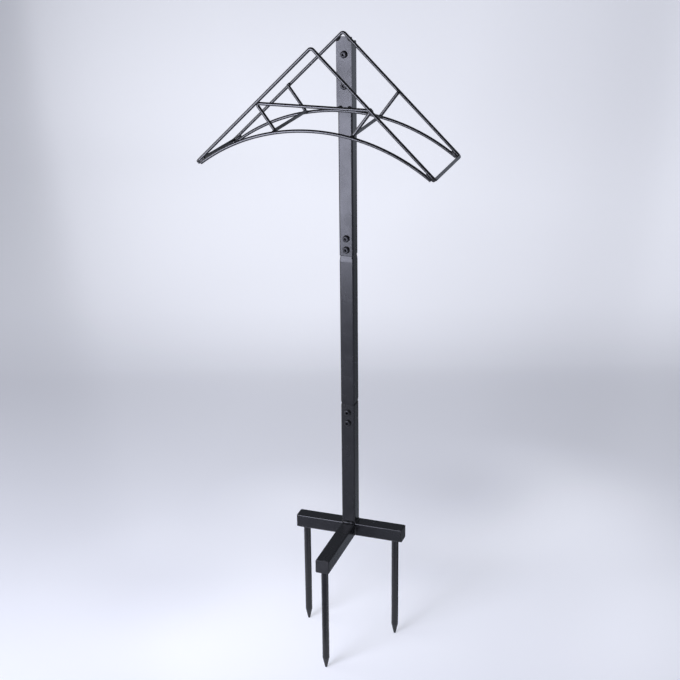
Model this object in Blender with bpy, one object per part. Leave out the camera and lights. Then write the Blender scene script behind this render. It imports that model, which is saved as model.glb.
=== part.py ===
"""Mobile hose stand: a three-spike base, a bolted three-piece post and a wire hose rack.

Metres, +Z up, +X to the stand's right as seen from the front, -Y to the front.
The spike tips stand at Z = 0 and the origin is under the middle of the whole stand.
"""

import math

import bmesh
import bpy
from mathutils import Matrix, Vector

# Gap left between two pieces that touch or are welded on the real stand
GAP = 0.0003

# Square steel tube of the post and of the base arms
TUBE_SIDE = 0.025
TUBE_WALL = 0.0008
TUBE_CORNER = 0.0025
BORE_CORNER = 0.0017

# Round ground spikes
SPIKE_DIAMETER = 0.012
SPIKE_REACH = 0.200
SPIKE_POINT = 0.020
SPIKE_TIP_DIAMETER = 0.0025

# Base: a cross bar, a front arm and a plastic cap in each open end
CROSS_BAR_LENGTH = 0.198
FRONT_ARM_REACH = 0.1562
CAP_FLANGE = 0.0018
CAP_PLUG = 0.005
CAP_INSET = 0.0002
SIDE_SPIKE_CLEARANCE = 0.003
FRONT_SPIKE_CLEARANCE = 0.0006

# Post: lower and upper tubes, and a middle tube with a drawn-in spigot at each end
LOWER_TUBE_LENGTH = 0.2345
MIDDLE_BODY_LENGTH = 0.2577
UPPER_TUBE_LENGTH = 0.359
LOWER_TAPER = 0.0065
UPPER_TAPER = 0.010
NECK = 0.0008
SPIGOT_MARGIN = 0.013

# M6 dome-head bolts and nuts
BOLT_DIAMETER = 0.006
BOLT_END_CHAMFER = 0.0007
BOLT_HOLE_CLEARANCE = 0.0006
HEAD_DIAMETER = 0.012
HEAD_HEIGHT = 0.0036
HEAD_RIM = 0.0008
SOCKET_ACROSS_FLATS = 0.004
SOCKET_DEPTH = 0.0022
SOCKET_RIM = 0.0003
NUT_ACROSS_FLATS = 0.010
NUT_HEIGHT = 0.005
NUT_CHAMFER = 0.0006
BOLT_END_BEYOND_NUT = 0.002
BOLT_PITCH = 0.020
LOWER_JOINT_EDGE = 0.015
UPPER_JOINT_EDGE = 0.0112

# Flat plate that carries the rack
PLATE_WIDTH = 0.027
PLATE_HEIGHT = 0.1167
PLATE_THICKNESS = 0.003
PLATE_RISE = 0.0117
PLATE_BOLT_EDGE = 0.0285
PLATE_BOLT_PITCH = 0.051

# Wire rack; places are those of the wire's centre line
WIRE_DIAMETER = 0.005
RACK_HALF_WIDTH = 0.196
RACK_DEPTH = 0.151
RACK_RISE = 0.1905
APEX_ABOVE_PLATE = 0.009
FRAME_BEND = 0.005
ARCH_END_INSET = 0.006
CROSSBAR_DROP = 0.0915
CRADLE_HALF_WIDTH = 0.064
CRADLE_ABOVE_ARCH = 0.003
CRADLE_BEND = 0.003

# Facets of the round forms
CORNER_STEPS = 3
BOLT_SIDES = 18
DOME_STEPS = 4
SPIKE_SIDES = 24
TAPER_STEPS = 3
BEND_STEPS = 5
ARCH_STEPS = 24
WIRE_RESOLUTION = 3
SMOOTH_BELOW = math.radians(35)

# Heights from the ground up
ARM_TOP = SPIKE_REACH + TUBE_SIDE
LOWER_TUBE_BASE = ARM_TOP + GAP
LOWER_TUBE_TOP = LOWER_TUBE_BASE + LOWER_TUBE_LENGTH
LOWER_SHOULDER = LOWER_TUBE_TOP + NECK
MIDDLE_BODY_BASE = LOWER_SHOULDER + LOWER_TAPER
MIDDLE_BODY_TOP = MIDDLE_BODY_BASE + MIDDLE_BODY_LENGTH
UPPER_SHOULDER = MIDDLE_BODY_TOP + UPPER_TAPER
UPPER_TUBE_BASE = UPPER_SHOULDER + NECK
UPPER_TUBE_TOP = UPPER_TUBE_BASE + UPPER_TUBE_LENGTH
PLATE_TOP = UPPER_TUBE_TOP + PLATE_RISE
PLATE_BOTTOM = PLATE_TOP - PLATE_HEIGHT
APEX_HEIGHT = PLATE_TOP + APEX_ABOVE_PLATE
RACK_END_HEIGHT = APEX_HEIGHT - RACK_RISE

# Places from front to back, measured from the post's axis
POST_FACE = TUBE_SIDE / 2
PLATE_BACK = -(POST_FACE + GAP)
PLATE_FACE = PLATE_BACK - PLATE_THICKNESS
BACK_FRAME = PLATE_FACE - GAP - WIRE_DIAMETER / 2
FRONT_FRAME = BACK_FRAME - RACK_DEPTH
WIRE_LAP = WIRE_DIAMETER + GAP
BOLT_END = POST_FACE + GAP + NUT_HEIGHT + BOLT_END_BEYOND_NUT
FRONT_REACH = max(WIRE_DIAMETER / 2 - FRONT_FRAME, FRONT_ARM_REACH + CAP_FLANGE)
POST_AXIS = (FRONT_REACH - BOLT_END) / 2

# Sizes that follow from a fit
SPIGOT_SIDE = TUBE_SIDE - 2 * (TUBE_WALL + GAP)
TUBE_BORE = TUBE_SIDE - 2 * TUBE_WALL
BOLT_HOLE = BOLT_DIAMETER + BOLT_HOLE_CLEARANCE
SPIKE_HOLE = SPIKE_DIAMETER + 2 * GAP
SIDE_SPIKE = CROSS_BAR_LENGTH / 2 - CAP_PLUG - SIDE_SPIKE_CLEARANCE - SPIKE_DIAMETER / 2
FRONT_SPIKE = FRONT_ARM_REACH - CAP_PLUG - FRONT_SPIKE_CLEARANCE - SPIKE_DIAMETER / 2

# Rack lines: the sloping side of both triangles and the arch under it
SLOPE = RACK_RISE / RACK_HALF_WIDTH
SLOPE_LAP = WIRE_LAP * math.hypot(1, SLOPE)
ARCH_TOP = PLATE_BOTTOM - GAP - WIRE_DIAMETER / 2
ARCH_HALF_SPAN = RACK_HALF_WIDTH - ARCH_END_INSET
ARCH_END_HEIGHT = APEX_HEIGHT - SLOPE * ARCH_HALF_SPAN - SLOPE_LAP
ARCH_RISE = ARCH_TOP - ARCH_END_HEIGHT
ARCH_RADIUS = (ARCH_HALF_SPAN ** 2 + ARCH_RISE ** 2) / (2 * ARCH_RISE)


def clear_scene():
    """Start from an empty scene."""
    for thing in list(bpy.data.objects):
        bpy.data.objects.remove(thing, do_unlink=True)


def finish(name, colour, roughness, metallic):
    """A plain material."""
    material = bpy.data.materials.new(name)
    material.use_nodes = True
    shader = material.node_tree.nodes["Principled BSDF"]
    shader.inputs["Base Color"].default_value = (*colour, 1)
    shader.inputs["Roughness"].default_value = roughness
    shader.inputs["Metallic"].default_value = metallic
    return material


def powder_coat(name):
    """Black powder coat for one piece of steel."""
    return finish(name + "_coat", (0.014, 0.0145, 0.017), 0.35, 0.0)


def black_plastic(name):
    """Moulded plastic for one cap."""
    return finish(name + "_plastic", (0.014, 0.014, 0.015), 0.5, 0.0)


def black_zinc(name):
    """Black plated steel for one fastener."""
    return finish(name + "_plating", (0.03, 0.03, 0.032), 0.38, 0.6)


def ring_points(mesh, outline, height):
    """One closed row of points, laid at a height."""
    return [mesh.verts.new((x, y, height)) for x, y in outline]


def join_rings(mesh, rings, hollow):
    """Skin between rings of equal count, capped where the form is solid.

    A hollow form runs back to its first ring instead.
    """
    pairs = list(zip(rings, rings[1:]))
    if hollow:
        pairs.append((rings[-1], rings[0]))
    for low, high in pairs:
        count = len(low)
        for i in range(count):
            j = (i + 1) % count
            mesh.faces.new((low[i], low[j], high[j], high[i]))
    if not hollow:
        mesh.faces.new(list(reversed(rings[0])))
        mesh.faces.new(rings[-1])
    bmesh.ops.recalc_face_normals(mesh, faces=mesh.faces)


def rounded_square(side, corner):
    """Outline of a square with round corners."""
    half = side / 2 - corner
    outline = []
    for quarter in range(4):
        start = quarter * math.pi / 2
        centre_x = math.copysign(half, math.cos(start + math.pi / 4))
        centre_y = math.copysign(half, math.sin(start + math.pi / 4))
        for step in range(CORNER_STEPS + 1):
            angle = start + step * math.pi / 2 / CORNER_STEPS
            outline.append((centre_x + corner * math.cos(angle), centre_y + corner * math.sin(angle)))
    return outline


def circle(diameter, sides):
    """Outline of a circle."""
    turns = [2 * math.pi * i / sides for i in range(sides)]
    return [(diameter / 2 * math.cos(a), diameter / 2 * math.sin(a)) for a in turns]


def hexagon(across_flats, sides):
    """Outline of a hexagon with several points on each flat; sides is a multiple of six."""
    outline = []
    for i in range(sides):
        angle = 2 * math.pi * i / sides
        off_flat = (angle + math.pi / 6) % (math.pi / 3) - math.pi / 6
        reach = across_flats / 2 / math.cos(math.pi / 6 - abs(off_flat))
        outline.append((reach * math.cos(angle), reach * math.sin(angle)))
    return outline


def mesh_object(name, sections, hollow, material):
    """An object lofted along its own Z through (height, outline) sections."""
    mesh = bmesh.new()
    rings = [ring_points(mesh, outline, height) for height, outline in sections]
    join_rings(mesh, rings, hollow)
    data = bpy.data.meshes.new(name)
    mesh.to_mesh(data)
    mesh.free()
    data.shade_smooth()
    data.set_sharp_from_angle(angle=SMOOTH_BELOW)
    if material:
        data.materials.append(material)
    thing = bpy.data.objects.new(name, data)
    bpy.context.collection.objects.link(thing)
    return thing


def place(thing, location, turn=None):
    """Put an object at a place from the post's axis, turned by a matrix if given."""
    thing.parent = bpy.data.objects["post_axis"]
    thing.location = location
    if turn:
        thing.rotation_euler = turn.to_euler()
    return thing


def turn_to(direction):
    """Rotation that points an object's own +Z along a direction."""
    return Vector(direction).to_track_quat("Z", "Y").to_matrix()


def cutter(name, outline, length, location, direction):
    """A hidden prism that a Boolean takes away."""
    thing = mesh_object(name, [(0, outline), (length, outline)], False, None)
    place(thing, location, turn_to(direction))
    thing.hide_render = True
    thing.display_type = "WIRE"
    return thing


def cut(thing, tool):
    """Take a cutter away from an object."""
    modifier = thing.modifiers.new("cut_" + tool.name, "BOOLEAN")
    modifier.operation = "DIFFERENCE"
    modifier.solver = "EXACT"
    modifier.object = tool


def straight_tube(name, length, location, direction):
    """A length of square tube, open at both ends, from a place along a direction."""
    outside = rounded_square(TUBE_SIDE, TUBE_CORNER)
    inside = rounded_square(TUBE_BORE, BORE_CORNER)
    sections = [(0, outside), (length, outside), (length, inside), (0, inside)]
    thing = mesh_object(name, sections, True, powder_coat(name))
    return place(thing, location, turn_to(direction))


def end_cap(name, location, direction):
    """A cap with a flange over the tube's end and a short plug inside its bore."""
    flange = rounded_square(TUBE_SIDE - 2 * CAP_INSET, TUBE_CORNER)
    plug = rounded_square(TUBE_BORE - 2 * GAP, BORE_CORNER)
    sections = [(-CAP_PLUG, plug), (GAP, plug), (GAP, flange), (GAP + CAP_FLANGE, flange)]
    thing = mesh_object(name, sections, False, black_plastic(name))
    return place(thing, location, turn_to(direction))


def spike(name, x, y):
    """A round bar with a blunt conical point, which runs up through the arm's lower wall."""
    bar = circle(SPIKE_DIAMETER, SPIKE_SIDES)
    tip = circle(SPIKE_TIP_DIAMETER, SPIKE_SIDES)
    top = ARM_TOP - TUBE_WALL - GAP
    thing = mesh_object(name, [(0, tip), (SPIKE_POINT, bar), (top, bar)], False, powder_coat(name))
    return place(thing, (x, y, 0))


def spike_hole(arm, name, x, y):
    """The hole in an arm's lower wall that a spike comes up through."""
    below = SPIKE_REACH - TUBE_WALL
    outline = circle(SPIKE_HOLE, SPIKE_SIDES)
    cut(arm, cutter(name, outline, TUBE_SIDE / 2, (x, y, below), (0, 0, 1)))


def build_base():
    """Cross bar, front arm, caps and spikes."""
    half = CROSS_BAR_LENGTH / 2
    middle = SPIKE_REACH + TUBE_SIDE / 2
    bar = straight_tube("base_cross_bar", CROSS_BAR_LENGTH, (-half, 0, middle), (1, 0, 0))
    arm_length = FRONT_ARM_REACH - POST_FACE - GAP
    arm = straight_tube("base_front_arm", arm_length, (0, -POST_FACE - GAP, middle), (0, -1, 0))
    end_cap("arm_cap_left", (-half, 0, middle), (-1, 0, 0))
    end_cap("arm_cap_right", (half, 0, middle), (1, 0, 0))
    end_cap("arm_cap_front", (0, -FRONT_ARM_REACH, middle), (0, -1, 0))
    for side, x, y, carrier in (
        ("left", -SIDE_SPIKE, 0, bar),
        ("right", SIDE_SPIKE, 0, bar),
        ("front", 0, -FRONT_SPIKE, arm),
    ):
        spike("ground_spike_" + side, x, y)
        spike_hole(carrier, "spike_hole_" + side, x, y)


def spigot_length(edge):
    """A spigot reaches past the second bolt by a margin."""
    return NECK + edge + BOLT_PITCH + SPIGOT_MARGIN


def drawn_end(tip, shoulder, body):
    """Heights and sides of a straight spigot and of its shoulder, which swells as a quarter of a sine."""
    levels = [(tip, SPIGOT_SIDE)]
    for step in range(TAPER_STEPS + 1):
        swell = math.sin(step / TAPER_STEPS * math.pi / 2)
        height = shoulder + (body - shoulder) * step / TAPER_STEPS
        levels.append((height, SPIGOT_SIDE + (TUBE_SIDE - SPIGOT_SIDE) * swell))
    return levels


def middle_tube():
    """Square tube with both ends drawn in to a spigot; the wall keeps its thickness."""
    name = "middle_post_tube"
    lower_tip = LOWER_SHOULDER - spigot_length(LOWER_JOINT_EDGE)
    upper_tip = UPPER_SHOULDER + spigot_length(UPPER_JOINT_EDGE)
    levels = drawn_end(lower_tip, LOWER_SHOULDER, MIDDLE_BODY_BASE)
    levels += reversed(drawn_end(upper_tip, UPPER_SHOULDER, MIDDLE_BODY_TOP))
    outer = [(height, rounded_square(side, TUBE_CORNER)) for height, side in levels]
    inner = [(height, rounded_square(side - 2 * TUBE_WALL, BORE_CORNER)) for height, side in levels]
    thing = mesh_object(name, outer + inner[::-1], True, powder_coat(name))
    return place(thing, (0, 0, 0))


def bolt(name, seat, height):
    """Dome-head bolt with a hexagon socket, from its seat at the front to past the nut behind."""
    reach = BOLT_END - seat
    shank = circle(BOLT_DIAMETER, BOLT_SIDES)
    end = circle(BOLT_DIAMETER - 2 * BOLT_END_CHAMFER, BOLT_SIDES)
    sections = [(-reach, end), (BOLT_END_CHAMFER - reach, shank), (GAP, shank)]
    sections.append((GAP, circle(HEAD_DIAMETER, BOLT_SIDES)))
    crown = SOCKET_ACROSS_FLATS / math.cos(math.pi / 6) + 2 * SOCKET_RIM
    for step in range(DOME_STEPS + 1):
        angle = step / DOME_STEPS * math.pi / 2
        width = crown + (HEAD_DIAMETER - crown) * math.cos(angle)
        rise = GAP + HEAD_RIM + (HEAD_HEIGHT - HEAD_RIM) * math.sin(angle)
        sections.append((rise, circle(width, BOLT_SIDES)))
    socket = hexagon(SOCKET_ACROSS_FLATS, BOLT_SIDES)
    top = GAP + HEAD_HEIGHT
    sections += [(top, socket), (top - SOCKET_DEPTH, socket)]
    thing = mesh_object(name, sections, False, black_zinc(name))
    return place(thing, (0, seat, height), turn_to((0, -1, 0)))


def nut(name, height):
    """Hexagon nut behind the post, with its outer corners chamfered."""
    flats = hexagon(NUT_ACROSS_FLATS, BOLT_SIDES)
    face = circle(NUT_ACROSS_FLATS - NUT_CHAMFER, BOLT_SIDES)
    bore = circle(BOLT_HOLE, BOLT_SIDES)
    sections = [
        (0, bore),
        (0, flats),
        (NUT_HEIGHT - NUT_CHAMFER, flats),
        (NUT_HEIGHT, face),
        (NUT_HEIGHT, bore),
    ]
    thing = mesh_object(name, sections, True, black_zinc(name))
    return place(thing, (0, POST_FACE + GAP, height), turn_to((0, 1, 0)))


def fasten(label, seat, height, pieces):
    """A bolt, its nut and the hole through each piece that it holds."""
    outline = circle(BOLT_HOLE, BOLT_SIDES)
    length = 2 * (BOLT_END - seat)
    tool = cutter("hole_" + label, outline, length, (0, -length / 2, height), (0, 1, 0))
    for piece in pieces:
        cut(piece, tool)
    bolt("bolt_" + label, seat, height)
    nut("nut_" + label, height)


def rack_plate():
    """Flat plate in front of the post's top end."""
    name = "rack_plate"
    half = PLATE_WIDTH / 2
    outline = [(-half, 0), (half, 0), (half, PLATE_THICKNESS), (-half, PLATE_THICKNESS)]
    thing = mesh_object(name, [(PLATE_BOTTOM, outline), (PLATE_TOP, outline)], False, powder_coat(name))
    return place(thing, (0, PLATE_FACE, 0))


def build_post():
    """Three post tubes, the top cap, the rack's plate and the six bolts."""
    lower = straight_tube("lower_post_tube", LOWER_TUBE_LENGTH, (0, 0, LOWER_TUBE_BASE), (0, 0, 1))
    upper = straight_tube("upper_post_tube", UPPER_TUBE_LENGTH, (0, 0, UPPER_TUBE_BASE), (0, 0, 1))
    middle = middle_tube()
    plate = rack_plate()
    end_cap("post_top_cap", (0, 0, UPPER_TUBE_TOP), (0, 0, 1))
    for step, label in enumerate(("near", "far")):
        down = LOWER_TUBE_TOP - LOWER_JOINT_EDGE - step * BOLT_PITCH
        up = UPPER_TUBE_BASE + UPPER_JOINT_EDGE + step * BOLT_PITCH
        fasten("lower_joint_" + label, -POST_FACE, down, (lower, middle))
        fasten("upper_joint_" + label, -POST_FACE, up, (upper, middle))
    first = PLATE_TOP - PLATE_BOLT_EDGE
    fasten("plate_top", PLATE_FACE, first, (plate, upper))
    fasten("plate_bottom", PLATE_FACE, first - PLATE_BOLT_PITCH, (plate, upper))


def arch_height(x):
    """Height of the arch's centre line at a distance from the middle."""
    return ARCH_TOP - ARCH_RADIUS + math.sqrt(ARCH_RADIUS ** 2 - x ** 2)


def bent_path(corners, bend, closed=False):
    """Points of a wire through corners, each bent on a round of a radius."""
    path = []
    count = len(corners)
    for i, corner in enumerate(corners):
        if not closed and i in (0, count - 1):
            path.append(corner)
            continue
        back = (corners[i - 1] - corner).normalized()
        ahead = (corners[(i + 1) % count] - corner).normalized()
        turn = math.pi - back.angle(ahead)
        centre = corner + (back + ahead).normalized() * (bend / math.cos(turn / 2))
        start = corner + back * (bend * math.tan(turn / 2)) - centre
        axis = back.cross(start)
        for step in range(BEND_STEPS + 1):
            path.append(centre + Matrix.Rotation(turn * step / BEND_STEPS, 3, axis) @ start)
    return path


def wire(name, path, closed=False):
    """Round wire along a path."""
    curve = bpy.data.curves.new(name, "CURVE")
    curve.dimensions = "3D"
    curve.bevel_depth = WIRE_DIAMETER / 2
    curve.bevel_resolution = WIRE_RESOLUTION
    curve.use_fill_caps = True
    spline = curve.splines.new("POLY")
    spline.points.add(len(path) - 1)
    for point, co in zip(spline.points, path):
        point.co = (*co, 1)
    spline.use_cyclic_u = closed
    spline.use_smooth = True
    curve.materials.append(powder_coat(name))
    thing = bpy.data.objects.new(name, curve)
    bpy.context.collection.objects.link(thing)
    return place(thing, (0, 0, 0))


def rack_frame():
    """One closed loop: front triangle side, end rod, back triangle side, end rod."""
    corners = [
        Vector((-RACK_HALF_WIDTH, FRONT_FRAME, RACK_END_HEIGHT)),
        Vector((0, FRONT_FRAME, APEX_HEIGHT)),
        Vector((RACK_HALF_WIDTH, FRONT_FRAME, RACK_END_HEIGHT)),
        Vector((RACK_HALF_WIDTH, BACK_FRAME, RACK_END_HEIGHT)),
        Vector((0, BACK_FRAME, APEX_HEIGHT)),
        Vector((-RACK_HALF_WIDTH, BACK_FRAME, RACK_END_HEIGHT)),
    ]
    wire("rack_frame_wire", bent_path(corners, FRAME_BEND, True), closed=True)


def arch(name, y):
    """Round arch under one triangle, ending against the underside of its sloping sides."""
    sweep = math.asin(ARCH_HALF_SPAN / ARCH_RADIUS)
    path = []
    for step in range(ARCH_STEPS + 1):
        angle = sweep * (2 * step / ARCH_STEPS - 1)
        x = ARCH_RADIUS * math.sin(angle)
        path.append(Vector((x, y, arch_height(x))))
    wire(name, path)


def hose_cradle():
    """One bent wire inside both frames: back strut, cross rod, front strut and crossbar, mirrored."""
    top = APEX_HEIGHT - CROSSBAR_DROP
    shoulder = CROSSBAR_DROP / SLOPE
    foot = arch_height(CRADLE_HALF_WIDTH) + CRADLE_ABOVE_ARCH
    front = FRONT_FRAME + WIRE_LAP
    back = BACK_FRAME - WIRE_LAP
    right = [
        Vector((shoulder, front, top)),
        Vector((CRADLE_HALF_WIDTH, front, foot)),
        Vector((CRADLE_HALF_WIDTH, back, foot)),
        Vector((shoulder, back, top)),
    ]
    left = [Vector((-corner.x, corner.y, corner.z)) for corner in reversed(right)]
    wire("hose_cradle_wire", bent_path(left + right, CRADLE_BEND))


def build_rack():
    """All the wires of the rack."""
    rack_frame()
    arch("front_arch_wire", FRONT_FRAME)
    arch("back_arch_wire", BACK_FRAME)
    hose_cradle()


def build_stand():
    """The whole stand, hung on an empty on the post's axis."""
    clear_scene()
    axis = bpy.data.objects.new("post_axis", None)
    axis.location = (0, POST_AXIS, 0)
    bpy.context.collection.objects.link(axis)
    build_base()
    build_post()
    build_rack()


build_stand()
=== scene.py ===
"""Finished surfaces of a ground-spike hose stand: tubes, wires, welds, fasteners, coats and its studio."""

import math

import bpy
import numpy as np
from bpy.props import FloatProperty, FloatVectorProperty, IntProperty, PointerProperty
from bpy.types import Operator, Panel, PropertyGroup
from mathutils import Matrix, Vector


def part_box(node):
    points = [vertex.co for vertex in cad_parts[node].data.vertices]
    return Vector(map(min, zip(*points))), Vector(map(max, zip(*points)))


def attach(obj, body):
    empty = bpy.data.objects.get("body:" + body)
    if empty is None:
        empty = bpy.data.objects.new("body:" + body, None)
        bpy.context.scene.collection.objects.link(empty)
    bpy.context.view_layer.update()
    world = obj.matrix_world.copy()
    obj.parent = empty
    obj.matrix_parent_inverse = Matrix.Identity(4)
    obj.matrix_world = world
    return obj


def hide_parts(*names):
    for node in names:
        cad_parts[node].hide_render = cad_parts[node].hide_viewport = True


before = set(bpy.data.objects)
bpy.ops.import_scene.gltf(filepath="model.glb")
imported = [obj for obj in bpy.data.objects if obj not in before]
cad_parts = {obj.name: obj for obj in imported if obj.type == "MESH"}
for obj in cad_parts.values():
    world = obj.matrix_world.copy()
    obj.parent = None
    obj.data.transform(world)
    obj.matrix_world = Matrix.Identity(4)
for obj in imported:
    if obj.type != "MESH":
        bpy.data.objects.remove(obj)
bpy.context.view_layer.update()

bl_info = {
    "name": "Hose Stand",
    "version": (1, 0, 0),
    "blender": (4, 5, 0),
    "location": "3D View > Sidebar > Hose Stand",
    "description": "Builds the finished surfaces of a hose stand with ground spikes and its studio",
    "category": "Add Mesh",
}

TUBES = "powder_coated_tube"
WIRES = "powder_coated_wire"
CAPS = "black_plastic_cap"
FASTENERS = "black_plated_fastener"
JOINTS = (
    "lower_joint_near", "lower_joint_far", "upper_joint_near", "upper_joint_far",
    "plate_top", "plate_bottom",
)
SIDES = ("left", "right", "front")
UP = (0, 0, 1)
FORWARD, RIGHTWARD = (0, -1, 0), (1, 0, 0)

# Support rows and points lie this far beyond each bend, so that the flats shade flat.
GUARD = 0.0006

# Camera and gloss see painted light and shade on the floor: a glow that is a product of curves along
# four directions and of round pools. Stops are (metres along the direction, tone), pools (spot on the floor,
# reach, gain).
PAINTED_LIGHT_SHARE = 0.3
DEPTH_LIGHT_AND_SHADE = (
    (-4.0, 0.18), (-1.1, 0.33), (-0.5, 0.38), (-0.1, 0.519), (0.07, 0.563), (0.27, 0.512), (0.55, 0.421),
    (0.9, 0.36), (1.12, 0.36), (1.37, 0.462), (1.67, 0.606), (1.97, 0.689), (2.6, 0.742), (3.4, 0.797),
    (6.0, 0.748),
)
RIGHT_LIGHT_AND_SHADE = ((-0.5, 0.82), (0.0, 0.737), (0.35, 0.677), (0.56, 0.732), (0.8, 0.45), (1.2, 0.25))
LEFT_LIGHT_AND_SHADE = ((-3.0, 0.75), (-0.6, 0.517), (-0.25, 0.809), (0.1, 0.975), (0.6, 1.071))
HEIGHT_LIGHT_AND_SHADE = ((0.0, 1.1), (1.5, 0.536), (2.1, 0.25), (5.0, 0.22))
FLOOR_LIGHT_AND_SHADE = (
    ((-0.327, 0.945, 0.0), DEPTH_LIGHT_AND_SHADE),
    ((1.021, 0.088, 0.0), RIGHT_LIGHT_AND_SHADE),
    ((0.869, 0.548, 0.0), LEFT_LIGHT_AND_SHADE),
    (UP, HEIGHT_LIGHT_AND_SHADE),
)
# Round pools of painted light (gain above 0) and painted shade (gain below 0) on the floor.
LIGHT_AND_SHADE_POOLS = (
    ((0.21, 0.655), 0.39, 0.56), ((0.075, 0.67), 0.285, -0.35), ((-0.26, 0.51), 0.25, 0.21),
    ((-0.4, 0.095), 0.25, -0.25), ((-0.33, -0.03), 0.54, 0.22), ((-0.25, 4.17), 1.6, -0.14),
    ((-1.43, 2.07), 1.25, 0.1), ((-0.54, 1.37), 0.72, 0.08),
)
# Height tones of the glowing panels that paint reflections on the stand: stops of (metres up, tone).
RIGHT_REFLECTION_TONES = (
    (0.0, 0.32), (0.06, 0.27), (0.2, 0.21), (0.45, 0.19), (0.6, 0.23), (0.72, 0.36), (0.85, 0.5), (1.5, 0.6),
)
LEFT_REFLECTION_TONES = ((0.0, 0.17), (0.3, 0.17), (0.9, 0.18), (1.5, 0.16))


def length(label, value, words):
    """A size property in metres."""
    return FloatProperty(name=label, description=words, default=value, min=0.0, precision=5, unit="LENGTH")


def colour(label, value, words):
    """A colour property."""
    return FloatVectorProperty(
        name=label, description=words, default=value, size=3, subtype="COLOR", min=0.0, max=1.0
    )


def share(label, value, words):
    """A plain factor property."""
    return FloatProperty(name=label, description=words, default=value, min=0.0, max=1.0, subtype="FACTOR")


def power(label, value, words):
    """A lamp's power in watts."""
    return FloatProperty(name=label, description=words, default=value, min=0.0, unit="POWER")


class HoseStandTubeSizes(PropertyGroup):
    """Sizes of the square tubes, caps, plate and spikes."""

    corner: length("Corner Radius", 0.0025, "Outer corner radius of the square tube")
    bore_corner: length("Bore Corner Radius", 0.0017, "Inner corner radius of the square tube")
    wall: length("Wall", 0.0008, "Wall thickness of the square tube")
    sawn_edge: length("Sawn Edge", 0.0003, "Rounding of the tubes' coated saw cuts")
    cap_flange: length("Cap Flange", 0.0018, "Thickness of a cap's flange")
    cap_edge: length("Cap Edge", 0.0008, "Rounding of a cap's outer edge")
    plate_corner: length("Plate Corner", 0.0015, "Corner radius of the rack's plate")
    plate_edge: length("Plate Edge", 0.00035, "Rounding of the plate's edges")
    spike_point: length("Spike Point", 0.020, "Length of a spike's cone")
    spike_nose: length("Spike Nose", 0.002, "Radius of a spike's blunt nose")
    spike_coat: length("Spike Coat", 0.0003, "Thickness of the coat on the spikes")
    fit: length("Spigot Clearance", 0.0003, "Clearance between a spigot and the bore round it")
    neck: length("Neck", 0.0008, "Straight length of spigot that shows at a joint")
    lower_taper: length("Lower Taper", 0.0065, "Length of the middle tube's lower taper")
    upper_taper: length("Upper Taper", 0.010, "Length of the middle tube's upper taper")


class HoseStandWireSizes(PropertyGroup):
    """Sizes of the rack's wires and of the welds."""

    diameter: length("Wire Diameter", 0.005, "Diameter of the rack's wire")
    coat_build: length("Coat Build", 0.0002, "Thickness of the coat on the rack's wire")
    frame_bend: length("Frame Bend", 0.005, "Bend radius of the frame wire's centre line")
    half_width: length("Half Width", 0.196, "From the middle to the end rods")
    rise: length("Rise", 0.1905, "From the end rods up to the apex")
    apex_above_plate: length("Apex Above Plate", 0.009, "Meeting point of the sloping sides above the plate")
    arch_inset: length("Arch Inset", 0.006, "From the end rods in to the arches' ends")
    crossbar_drop: length("Crossbar Drop", 0.0915, "From the apex down to the crossbar")
    cradle_half_width: length("Cradle Half Width", 0.064, "From the middle to the cross rods")
    cradle_above_arch: length("Cradle Above Arch", 0.003, "Height of the cross rods above the arches")
    cradle_bend: length("Cradle Bend", 0.003, "Bend radius of the cradle wire's centre line")
    lap: length("Lap", 0.0053, "Between the centre lines of two welded wires")
    tack: length("Tack Radius", 0.0021, "Half width of a tack weld on the wires")
    bead: length("Bead Radius", 0.0026, "Half width of a weld on the tubes")
    around: IntProperty(name="Wire Facets", description="Facets round a wire", default=28, min=8, max=64)


class HoseStandFastenerSizes(PropertyGroup):
    """Sizes of the dome-head bolts and the nuts."""

    head: length("Head Diameter", 0.012, "Diameter of a bolt's head")
    head_height: length("Head Height", 0.0036, "Height of a bolt's head")
    head_rim: length("Head Rim", 0.0008, "Height of the head's straight rim")
    socket: length("Socket", 0.0047, "Hexagon socket across flats")
    socket_depth: length("Socket Depth", 0.003, "Depth of the hexagon socket")
    drill_point: length("Drill Point", 0.0026, "Depth of the cone under the socket")
    thread: length("Thread", 0.006, "Diameter of the bolt's thread")
    pitch: length("Thread Pitch", 0.001, "Pitch of the bolt's thread")
    nut: length("Nut", 0.010, "Nut across flats")
    gap: length("Seat Gap", 0.0003, "Gap under a bolt's head")


class HoseStandFinish(PropertyGroup):
    """Colours and gloss of the coats."""

    coat: colour("Coat", (0.0095, 0.0097, 0.0114), "Black powder coat")
    coat_roughness: share("Coat Roughness", 0.25, "Roughness of the powder coat")
    coat_peel: length("Coat Peel", 0.000010, "Depth of the coat's orange peel")
    plastic: colour("Plastic", (0.016, 0.016, 0.0178), "Black moulded caps")
    plastic_roughness: share("Plastic Roughness", 0.48, "Roughness of the caps")
    plating: colour("Plating", (0.022, 0.022, 0.025), "Black plating of the fasteners")
    plating_roughness: share("Plating Roughness", 0.27, "Roughness of the plating")


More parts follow.
